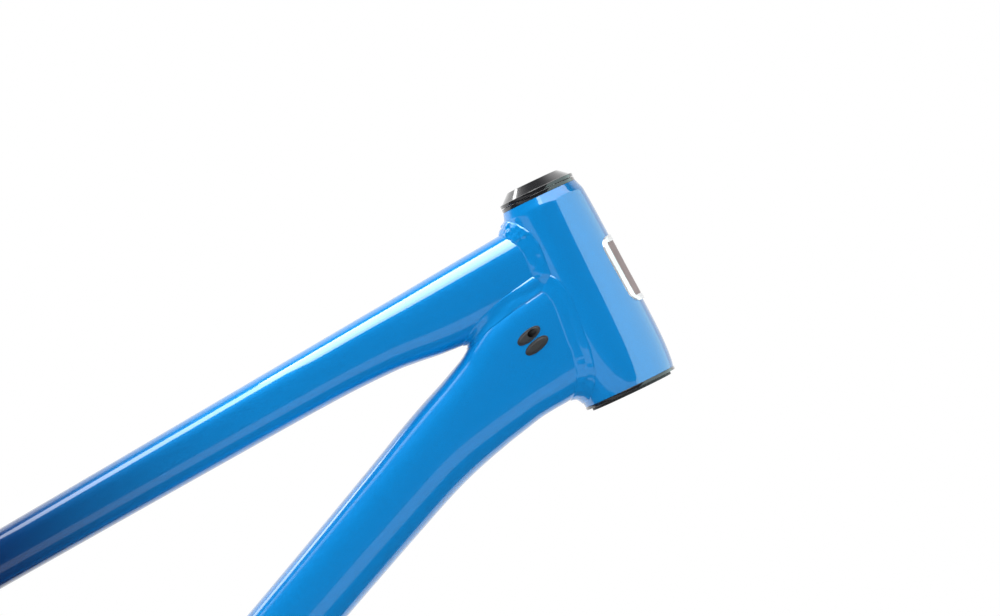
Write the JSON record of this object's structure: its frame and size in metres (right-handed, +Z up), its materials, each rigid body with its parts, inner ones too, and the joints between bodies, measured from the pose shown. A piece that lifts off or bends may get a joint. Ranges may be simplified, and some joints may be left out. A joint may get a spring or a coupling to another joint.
{
  "type": "mountain bicycle frame",
  "caption": "Sloping aluminium hardtail bicycle frame with tapered head tube, bent down tube, headset, cable ports, seat collar and rear through axle.",
  "frame": {"origin": "centre of the bottom bracket shell, on its thread axis", "axes": "+X forwards along the bicycle, +Y to the rider's left along the bottom bracket axis, +Z up"},
  "size_m": [1.008, 0.1901, 0.6781],
  "materials": {
    "frame_paint": "gloss metallic blue that fades to dark navy at the back",
    "black_anodised": "gloss black anodised",
    "bearing_steel": "polished",
    "fastener_steel": "satin",
    "bare_aluminium": "satin",
    "badge_metal": "polished rim round a satin panel",
    "black_rubber": "matt"
  },
  "bodies": {
    "frame": {"head_tube": "frame_paint", "top_tube": "frame_paint", "down_tube": "frame_paint", "seat_tube": "frame_paint", "seat_tube_gusset": "frame_paint", "bottom_bracket_shell": "frame_paint", "chainstay_right": "frame_paint", "chainstay_left": "frame_paint", "chainstay_bridge": "frame_paint", "seatstay_right": "frame_paint", "seatstay_left": "frame_paint", "seatstay_bridge": "frame_paint", "dropout_right": "frame_paint", "dropout_left": "frame_paint", "brake_mount": "frame_paint", "upper_cup": "black_anodised", "upper_outer_race": "bearing_steel", "upper_bearing_seals": "black_rubber", "lower_cup": "black_anodised", "lower_outer_race": "bearing_steel", "lower_bearing_seals": "black_rubber", "head_badge": "badge_metal", "cable_grommets": "black_rubber", "port_plug": "black_rubber", "exit_grommets": "black_rubber", "bottle_bosses": "bare_aluminium", "seat_collar": "black_anodised", "seat_collar_bolt": "fastener_steel", "seat_collar_nut": "fastener_steel", "derailleur_hanger": "black_anodised", "hanger_screws": "fastener_steel", "chainstay_guard": "black_rubber", "hose_guides": "black_rubber", "guide_screws": "fastener_steel"},
    "upper_turning": {"upper_inner_race": "bearing_steel", "compression_ring": "bare_aluminium", "upper_cover": "black_anodised", "upper_cover_seal": "black_rubber"},
    "upper_ball_train": {"upper_balls": "bearing_steel", "upper_ball_cage": "bearing_steel"},
    "lower_turning": {"lower_inner_race": "bearing_steel", "crown_race": "black_anodised", "crown_race_seal": "black_rubber"},
    "lower_ball_train": {"lower_balls": "bearing_steel", "lower_ball_cage": "bearing_steel"},
    "axle_slider": {"axle_washer": "fastener_steel"},
    "axle": {"thru_axle": "black_anodised"}
  },
  "joints": [
    {"name": "upper_headset_turn", "type": "hinge", "parent": "frame", "child": "upper_turning", "pos_m": [0.47, 0, 0.64], "axis": [-0.4305, 0, 0.9026], "continuous": true},
    {"name": "lower_headset_turn", "type": "hinge", "parent": "frame", "child": "lower_turning", "pos_m": [0.52769, 0, 0.51905], "axis": [-0.4305, 0, 0.9026], "continuous": true},
    {"name": "upper_ball_orbit", "type": "hinge", "parent": "frame", "child": "upper_ball_train", "pos_m": [0.47, 0, 0.64], "axis": [-0.4305, 0, 0.9026], "continuous": true},
    {"name": "lower_ball_orbit", "type": "hinge", "parent": "frame", "child": "lower_ball_train", "pos_m": [0.52769, 0, 0.51905], "axis": [-0.4305, 0, 0.9026], "continuous": true},
    {"name": "axle_draw", "type": "slide", "parent": "frame", "child": "axle_slider", "axis": [0, 1, 0], "range_m": [0, 0.19]},
    {"name": "axle_turn", "type": "hinge", "parent": "axle_slider", "child": "axle", "pos_m": [-0.43084, 0, 0.06], "axis": [0, 1, 0], "continuous": true}
  ],
  "couplings": [
    {"joint": "lower_headset_turn", "follows": "upper_headset_turn", "ratio": 1},
    {"joint": "upper_ball_orbit", "follows": "upper_headset_turn", "ratio": 0.456},
    {"joint": "lower_ball_orbit", "follows": "upper_headset_turn", "ratio": 0.465}
  ]
}
